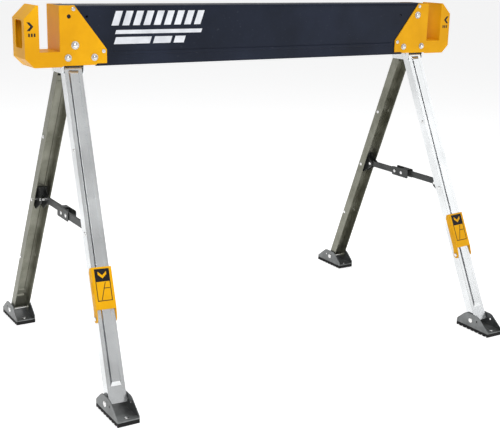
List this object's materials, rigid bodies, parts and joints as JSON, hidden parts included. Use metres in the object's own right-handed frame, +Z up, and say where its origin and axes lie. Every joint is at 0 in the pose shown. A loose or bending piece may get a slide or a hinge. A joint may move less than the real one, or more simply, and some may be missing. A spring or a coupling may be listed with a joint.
{
  "type": "folding sawhorse",
  "caption": "Folding steel sawhorse with a hollow beam, slotted end brackets for a timber rail, two braced A-frames of channel legs, rocking rubber feet and fold-down support pegs.",
  "frame": {"origin": "middle of the base, on the floor", "axes": "+Z up, the beam runs along X, the front is -Y"},
  "size_m": [1.168, 0.744, 0.813],
  "materials": {
    "yellow_paint": "glossy yellow powder coat",
    "navy_paint": "satin blue-black paint",
    "zinc_steel": "zinc-plated folded sheet",
    "dark_steel": "dark grey coated steel",
    "bright_zinc": "bright zinc fasteners",
    "rubber": "matte black moulded rubber"
  },
  "bodies": {
    "beam": {"beam_shell": "navy_paint", "left_end_bracket": "yellow_paint", "left_slot_liner": "yellow_paint", "left_bracket_rivets": "bright_zinc", "left_bracket_bolts": "bright_zinc", "left_pivot_bolt": "bright_zinc", "left_pivot_nut": "bright_zinc", "right_end_bracket": "yellow_paint", "right_slot_liner": "yellow_paint", "right_bracket_rivets": "bright_zinc", "right_bracket_bolts": "bright_zinc", "right_pivot_bolt": "bright_zinc", "right_pivot_nut": "bright_zinc"},
    "left_yoke": {"left_leg_yoke": "zinc_steel", "left_yoke_pins": "bright_zinc"},
    "left_front_leg": {"left_front_leg_channel": "zinc_steel", "left_front_leg_liner": "zinc_steel", "left_front_leg_fasteners": "bright_zinc", "left_front_brace_bracket": "zinc_steel", "left_peg_pin": "bright_zinc"},
    "left_front_brace": {"left_front_brace_link": "dark_steel", "left_brace_sleeve": "dark_steel", "left_brace_rivets": "bright_zinc"},
    "left_front_foot": {"left_front_foot_shoe": "zinc_steel", "left_front_foot_pad": "rubber", "left_front_foot_fasteners": "bright_zinc"},
    "left_rear_leg": {"left_rear_leg_channel": "zinc_steel", "left_rear_leg_liner": "zinc_steel", "left_rear_leg_fasteners": "bright_zinc", "left_rear_brace_bracket": "zinc_steel"},
    "left_rear_brace": {"left_rear_brace_link": "dark_steel"},
    "left_rear_foot": {"left_rear_foot_shoe": "zinc_steel", "left_rear_foot_pad": "rubber", "left_rear_foot_fasteners": "bright_zinc"},
    "left_peg": {"left_support_peg": "yellow_paint"},
    "right_yoke": {"right_leg_yoke": "zinc_steel", "right_yoke_pins": "bright_zinc"},
    "right_front_leg": {"right_front_leg_channel": "zinc_steel", "right_front_leg_liner": "zinc_steel", "right_front_leg_fasteners": "bright_zinc", "right_front_brace_bracket": "zinc_steel", "right_peg_pin": "bright_zinc"},
    "right_front_brace": {"right_front_brace_link": "dark_steel"},
    "right_front_foot": {"right_front_foot_shoe": "zinc_steel", "right_front_foot_pad": "rubber", "right_front_foot_fasteners": "bright_zinc"},
    "right_rear_leg": {"right_rear_leg_channel": "zinc_steel", "right_rear_leg_liner": "zinc_steel", "right_rear_leg_fasteners": "bright_zinc", "right_rear_brace_bracket": "zinc_steel"},
    "right_rear_brace": {"right_rear_brace_link": "dark_steel", "right_brace_sleeve": "dark_steel", "right_brace_rivets": "bright_zinc"},
    "right_rear_foot": {"right_rear_foot_shoe": "zinc_steel", "right_rear_foot_pad": "rubber", "right_rear_foot_fasteners": "bright_zinc"},
    "right_peg": {"right_support_peg": "yellow_paint"}
  },
  "joints": [
    {"name": "left_leg_fold", "type": "hinge", "parent": "beam", "child": "left_yoke", "pos_m": [-0.47375, 0, 0.7296], "axis": [0, -1, 0], "range_deg": [0, 40]},
    {"name": "left_front_leg_spread", "type": "hinge", "parent": "left_yoke", "child": "left_front_leg", "pos_m": [-0.476, -0.017, 0.682], "axis": [0.9989, 0, -0.0473], "range_deg": [0, 19]},
    {"name": "left_front_brace_fold", "type": "hinge", "parent": "left_front_leg", "child": "left_front_brace", "pos_m": [-0.49148, -0.137, 0.355], "axis": [0.9989, 0, -0.0473], "range_deg": [0, 60.9]},
    {"name": "left_front_foot_tilt", "type": "hinge", "parent": "left_front_leg", "child": "left_front_foot", "pos_m": [-0.507, -0.31, 0.027], "axis": [1, 0, 0], "range_deg": [-12, 12]},
    {"name": "left_rear_leg_spread", "type": "hinge", "parent": "left_yoke", "child": "left_rear_leg", "pos_m": [-0.476, 0.017, 0.682], "axis": [0.9989, 0, -0.0473], "range_deg": [-19, 0]},
    {"name": "left_rear_brace_fold", "type": "hinge", "parent": "left_rear_leg", "child": "left_rear_brace", "pos_m": [-0.49148, 0.137, 0.355], "axis": [0.9989, 0, -0.0473], "range_deg": [-60.9, 0]},
    {"name": "left_rear_foot_tilt", "type": "hinge", "parent": "left_rear_leg", "child": "left_rear_foot", "pos_m": [-0.507, 0.31, 0.027], "axis": [1, 0, 0], "range_deg": [-12, 12]},
    {"name": "left_peg_swing", "type": "hinge", "parent": "left_front_leg", "child": "left_peg", "pos_m": [-0.49944, -0.24297, 0.18663], "axis": [0.9989, 0, -0.0473], "range_deg": [0, 110]},
    {"name": "right_leg_fold", "type": "hinge", "parent": "beam", "child": "right_yoke", "pos_m": [0.4712, 0, 0.7835], "axis": [0, 1, 0], "range_deg": [0, 30]},
    {"name": "right_front_leg_spread", "type": "hinge", "parent": "right_yoke", "child": "right_front_leg", "pos_m": [0.476, -0.017, 0.682], "axis": [0.9989, 0, 0.0473], "range_deg": [0, 19]},
    {"name": "right_front_brace_fold", "type": "hinge", "parent": "right_front_leg", "child": "right_front_brace", "pos_m": [0.49148, -0.137, 0.355], "axis": [0.9989, 0, 0.0473], "range_deg": [0, 60.9]},
    {"name": "right_front_foot_tilt", "type": "hinge", "parent": "right_front_leg", "child": "right_front_foot", "pos_m": [0.507, -0.31, 0.027], "axis": [1, 0, 0], "range_deg": [-12, 12]},
    {"name": "right_rear_leg_spread", "type": "hinge", "parent": "right_yoke", "child": "right_rear_leg", "pos_m": [0.476, 0.017, 0.682], "axis": [0.9989, 0, 0.0473], "range_deg": [-19, 0]},
    {"name": "right_rear_brace_fold", "type": "hinge", "parent": "right_rear_leg", "child": "right_rear_brace", "pos_m": [0.49148, 0.137, 0.355], "axis": [0.9989, 0, 0.0473], "range_deg": [-60.9, 0]},
    {"name": "right_rear_foot_tilt", "type": "hinge", "parent": "right_rear_leg", "child": "right_rear_foot", "pos_m": [0.507, 0.31, 0.027], "axis": [1, 0, 0], "range_deg": [-12, 12]},
    {"name": "right_peg_swing", "type": "hinge", "parent": "right_front_leg", "child": "right_peg", "pos_m": [0.49944, -0.24297, 0.18663], "axis": [0.9989, 0, 0.0473], "range_deg": [0, 110]}
  ],
  "couplings": [
    {"joint": "left_front_leg_spread", "follows": "left_leg_fold", "ratio": 0.475},
    {"joint": "left_front_brace_fold", "follows": "left_leg_fold", "ratio": 1.5225},
    {"joint": "left_rear_leg_spread", "follows": "left_leg_fold", "ratio": -0.475},
    {"joint": "left_rear_brace_fold", "follows": "left_leg_fold", "ratio": -1.5225},
    {"joint": "right_front_leg_spread", "follows": "right_leg_fold", "ratio": 0.63333},
    {"joint": "right_front_brace_fold", "follows": "right_leg_fold", "ratio": 2.03},
    {"joint": "right_rear_leg_spread", "follows": "right_leg_fold", "ratio": -0.63333},
    {"joint": "right_rear_brace_fold", "follows": "right_leg_fold", "ratio": -2.03}
  ]
}
